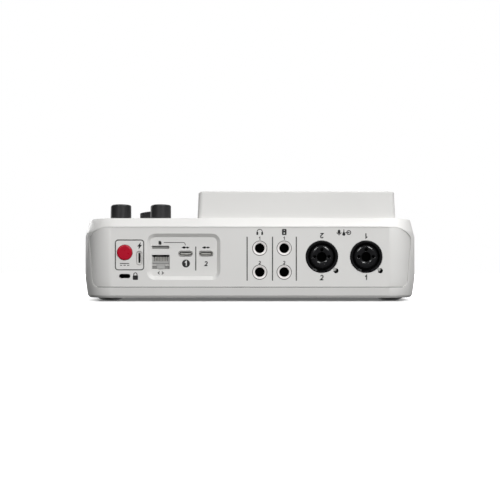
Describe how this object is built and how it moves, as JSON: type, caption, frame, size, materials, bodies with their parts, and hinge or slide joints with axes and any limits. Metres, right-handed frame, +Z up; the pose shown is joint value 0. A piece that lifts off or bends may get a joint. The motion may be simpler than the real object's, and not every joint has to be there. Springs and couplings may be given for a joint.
{
  "type": "podcast production console",
  "caption": "White desktop podcast console with a tilted screen, faders, pads and knobs on a sloping deck and a connector panel at the rear.",
  "frame": {"origin": "middle of the footprint, on the surface that the feet stand on", "axes": "+Z up, +Y out of the connector panel at the rear, +X to the user's right, user at -Y"},
  "size_m": [0.227, 0.25, 0.0749],
  "materials": {
    "shell_white": "fine satin moulded plastic",
    "panel_white": "fine satin moulded plastic",
    "screen_white": "satin moulded plastic",
    "deck_white": "fine satin moulded plastic",
    "base_grey": "moulded plastic",
    "ferrule_white": "smooth plastic ring",
    "socket_black": "glossy black moulded plastic",
    "jack_black": "black moulded plastic",
    "port_metal": "tinned shield",
    "bracket_steel": "plated steel",
    "screw_black": "black plated screw",
    "power_red": "glossy crimson plastic",
    "record_red": "satin red plastic",
    "knob_charcoal": "smooth charcoal plastic",
    "cap_charcoal": "satin charcoal plastic",
    "button_grey": "translucent plastic key",
    "pad_silicone": "translucent silicone pad",
    "ring_clear": "frosted light guide",
    "screen_glass": "black cover glass",
    "display_dark": "display stack",
    "board_green": "circuit board",
    "foot_rubber": "black rubber"
  },
  "bodies": {
    "console": {"main_housing": "shell_white", "rear_panel": "panel_white", "screen_housing": "screen_white", "top_panel": "deck_white", "bottom_plate": "base_grey", "jack_ferrules": "ferrule_white", "combo_jack_1": "socket_black", "combo_jack_2": "socket_black", "combo_inserts": "socket_black", "headphone_jacks": "jack_black", "monitor_jacks": "jack_black", "headset_jack": "jack_black", "power_switch": "jack_black", "headphone_pots": "jack_black", "encoder_body": "jack_black", "fader_bodies": "jack_black", "usb_ports": "port_metal", "ethernet_port": "port_metal", "microsd_socket": "port_metal", "lock_slot_bracket": "bracket_steel", "case_screws": "bracket_steel", "board_standoffs": "bracket_steel", "combo_screws": "screw_black", "encoder_light_ring": "ring_clear", "touchscreen_glass": "screen_glass", "display_module": "display_dark", "main_board": "board_green", "control_board": "board_green", "io_board": "board_green", "rubber_feet": "foot_rubber"},
    "fader_cap_1": {"fader_cap_1": "cap_charcoal"},
    "select_button_1": {"select_button_1": "button_grey"},
    "listen_button_1": {"listen_button_1": "button_grey"},
    "mute_button_1": {"mute_button_1": "button_grey"},
    "fader_cap_2": {"fader_cap_2": "cap_charcoal"},
    "select_button_2": {"select_button_2": "button_grey"},
    "listen_button_2": {"listen_button_2": "button_grey"},
    "mute_button_2": {"mute_button_2": "button_grey"},
    "fader_cap_3": {"fader_cap_3": "cap_charcoal"},
    "select_button_3": {"select_button_3": "button_grey"},
    "listen_button_3": {"listen_button_3": "button_grey"},
    "mute_button_3": {"mute_button_3": "button_grey"},
    "fader_cap_4": {"fader_cap_4": "cap_charcoal"},
    "select_button_4": {"select_button_4": "button_grey"},
    "listen_button_4": {"listen_button_4": "button_grey"},
    "mute_button_4": {"mute_button_4": "button_grey"},
    "pad_1": {"pad_1": "pad_silicone"},
    "pad_2": {"pad_2": "pad_silicone"},
    "pad_3": {"pad_3": "pad_silicone"},
    "pad_4": {"pad_4": "pad_silicone"},
    "pad_5": {"pad_5": "pad_silicone"},
    "pad_6": {"pad_6": "pad_silicone"},
    "bank_button_left": {"bank_button_left": "button_grey"},
    "bank_button_right": {"bank_button_right": "button_grey"},
    "record_button": {"record_button": "record_red"},
    "power_button": {"power_button": "power_red"},
    "headphone_knob_1": {"headphone_knob_1": "knob_charcoal"},
    "headphone_knob_2": {"headphone_knob_2": "knob_charcoal"},
    "encoder_push": {"encoder_plunger": "knob_charcoal"},
    "encoder_knob": {"encoder_knob": "knob_charcoal"}
  },
  "joints": [
    {"name": "fader_1_slide", "type": "slide", "parent": "console", "child": "fader_cap_1", "axis": [0, 0.9962, 0.0872], "range_m": [-0.03, 0.03]},
    {"name": "select_button_1_press", "type": "slide", "parent": "console", "child": "select_button_1", "axis": [0, 0.0872, -0.9962], "range_m": [0, 0.0008], "stiffness_N_per_m": 400, "springref_m": -0.001},
    {"name": "listen_button_1_press", "type": "slide", "parent": "console", "child": "listen_button_1", "axis": [0, 0.0872, -0.9962], "range_m": [0, 0.0008], "stiffness_N_per_m": 400, "springref_m": -0.001},
    {"name": "mute_button_1_press", "type": "slide", "parent": "console", "child": "mute_button_1", "axis": [0, 0.0872, -0.9962], "range_m": [0, 0.0008], "stiffness_N_per_m": 400, "springref_m": -0.001},
    {"name": "fader_2_slide", "type": "slide", "parent": "console", "child": "fader_cap_2", "axis": [0, 0.9962, 0.0872], "range_m": [-0.03, 0.03]},
    {"name": "select_button_2_press", "type": "slide", "parent": "console", "child": "select_button_2", "axis": [0, 0.0872, -0.9962], "range_m": [0, 0.0008], "stiffness_N_per_m": 400, "springref_m": -0.001},
    {"name": "listen_button_2_press", "type": "slide", "parent": "console", "child": "listen_button_2", "axis": [0, 0.0872, -0.9962], "range_m": [0, 0.0008], "stiffness_N_per_m": 400, "springref_m": -0.001},
    {"name": "mute_button_2_press", "type": "slide", "parent": "console", "child": "mute_button_2", "axis": [0, 0.0872, -0.9962], "range_m": [0, 0.0008], "stiffness_N_per_m": 400, "springref_m": -0.001},
    {"name": "fader_3_slide", "type": "slide", "parent": "console", "child": "fader_cap_3", "axis": [0, 0.9962, 0.0872], "range_m": [-0.03, 0.03]},
    {"name": "select_button_3_press", "type": "slide", "parent": "console", "child": "select_button_3", "axis": [0, 0.0872, -0.9962], "range_m": [0, 0.0008], "stiffness_N_per_m": 400, "springref_m": -0.001},
    {"name": "listen_button_3_press", "type": "slide", "parent": "console", "child": "listen_button_3", "axis": [0, 0.0872, -0.9962], "range_m": [0, 0.0008], "stiffness_N_per_m": 400, "springref_m": -0.001},
    {"name": "mute_button_3_press", "type": "slide", "parent": "console", "child": "mute_button_3", "axis": [0, 0.0872, -0.9962], "range_m": [0, 0.0008], "stiffness_N_per_m": 400, "springref_m": -0.001},
    {"name": "fader_4_slide", "type": "slide", "parent": "console", "child": "fader_cap_4", "axis": [0, 0.9962, 0.0872], "range_m": [-0.03, 0.03]},
    {"name": "select_button_4_press", "type": "slide", "parent": "console", "child": "select_button_4", "axis": [0, 0.0872, -0.9962], "range_m": [0, 0.0008], "stiffness_N_per_m": 400, "springref_m": -0.001},
    {"name": "listen_button_4_press", "type": "slide", "parent": "console", "child": "listen_button_4", "axis": [0, 0.0872, -0.9962], "range_m": [0, 0.0008], "stiffness_N_per_m": 400, "springref_m": -0.001},
    {"name": "mute_button_4_press", "type": "slide", "parent": "console", "child": "mute_button_4", "axis": [0, 0.0872, -0.9962], "range_m": [0, 0.0008], "stiffness_N_per_m": 400, "springref_m": -0.001},
    {"name": "pad_1_press", "type": "slide", "parent": "console", "child": "pad_1", "axis": [0, 0.0872, -0.9962], "range_m": [0, 0.001], "stiffness_N_per_m": 500, "springref_m": -0.001},
    {"name": "pad_2_press", "type": "slide", "parent": "console", "child": "pad_2", "axis": [0, 0.0872, -0.9962], "range_m": [0, 0.001], "stiffness_N_per_m": 500, "springref_m": -0.001},
    {"name": "pad_3_press", "type": "slide", "parent": "console", "child": "pad_3", "axis": [0, 0.0872, -0.9962], "range_m": [0, 0.001], "stiffness_N_per_m": 500, "springref_m": -0.001},
    {"name": "pad_4_press", "type": "slide", "parent": "console", "child": "pad_4", "axis": [0, 0.0872, -0.9962], "range_m": [0, 0.001], "stiffness_N_per_m": 500, "springref_m": -0.001},
    {"name": "pad_5_press", "type": "slide", "parent": "console", "child": "pad_5", "axis": [0, 0.0872, -0.9962], "range_m": [0, 0.001], "stiffness_N_per_m": 500, "springref_m": -0.001},
    {"name": "pad_6_press", "type": "slide", "parent": "console", "child": "pad_6", "axis": [0, 0.0872, -0.9962], "range_m": [0, 0.001], "stiffness_N_per_m": 500, "springref_m": -0.001},
    {"name": "bank_button_left_press", "type": "slide", "parent": "console", "child": "bank_button_left", "axis": [0, 0.0872, -0.9962], "range_m": [0, 0.0008], "stiffness_N_per_m": 400, "springref_m": -0.001},
    {"name": "bank_button_right_press", "type": "slide", "parent": "console", "child": "bank_button_right", "axis": [0, 0.0872, -0.9962], "range_m": [0, 0.0008], "stiffness_N_per_m": 400, "springref_m": -0.001},
    {"name": "record_button_press", "type": "slide", "parent": "console", "child": "record_button", "axis": [0, 0.0872, -0.9962], "range_m": [0, 0.0008], "stiffness_N_per_m": 400, "springref_m": -0.001},
    {"name": "power_button_press", "type": "slide", "parent": "console", "child": "power_button", "axis": [0, -1, 0], "range_m": [0, 0.0012], "stiffness_N_per_m": 500, "springref_m": -0.0012},
    {"name": "headphone_1_turn", "type": "hinge", "parent": "console", "child": "headphone_knob_1", "pos_m": [0.0898, 0.09763, 0.05469], "axis": [0, -0.0872, 0.9962], "range_deg": [-150, 150]},
    {"name": "headphone_2_turn", "type": "hinge", "parent": "console", "child": "headphone_knob_2", "pos_m": [0.0621, 0.09763, 0.05469], "axis": [0, -0.0872, 0.9962], "range_deg": [-150, 150]},
    {"name": "encoder_press", "type": "slide", "parent": "console", "child": "encoder_push", "axis": [0, 0.0872, -0.9962], "range_m": [0, 0.0006], "stiffness_N_per_m": 600, "springref_m": -0.001},
    {"name": "encoder_turn", "type": "hinge", "parent": "encoder_push", "child": "encoder_knob", "pos_m": [0.06885, 0.05778, 0.05121], "axis": [0, -0.0872, 0.9962], "continuous": true}
  ]
}
